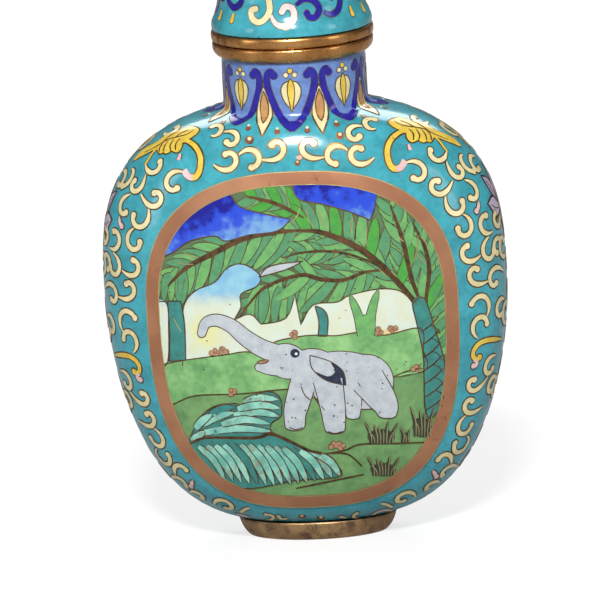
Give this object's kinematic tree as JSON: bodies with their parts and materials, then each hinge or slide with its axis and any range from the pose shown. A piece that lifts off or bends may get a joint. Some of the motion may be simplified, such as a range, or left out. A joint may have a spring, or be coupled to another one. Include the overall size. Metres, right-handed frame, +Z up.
{
  "type": "snuff bottle",
  "caption": "Flattened cloisonne enamel snuff bottle with copper-framed picture panels, oval foot, round neck and a domed stopper.",
  "frame": {"origin": "under the middle of the foot, on the surface that the bottle stands on", "axes": "+Z up through the stopper, -Y out of the pictured front, +X to the right seen from the front"},
  "size_m": [0.048, 0.025, 0.0742],
  "materials": {
    "turquoise_enamel": "glossy vitreous enamel with wire cells, over copper",
    "copper_band": "flush worn copper",
    "gilt_rim": "polished copper with remains of gilding",
    "tarnished_foot": "dull tarnished copper",
    "cork": "matt cork"
  },
  "bodies": {
    "root": {"foot_rim": "tarnished_foot", "bottle_body": "turquoise_enamel", "panel_frame_front": "copper_band", "panel_frame_back": "copper_band", "mouth_rim": "gilt_rim", "stopper_rim": "gilt_rim", "stopper_dome": "turquoise_enamel", "stopper_button": "gilt_rim", "stopper_cork": "cork"}
  },
  "joints": []
}
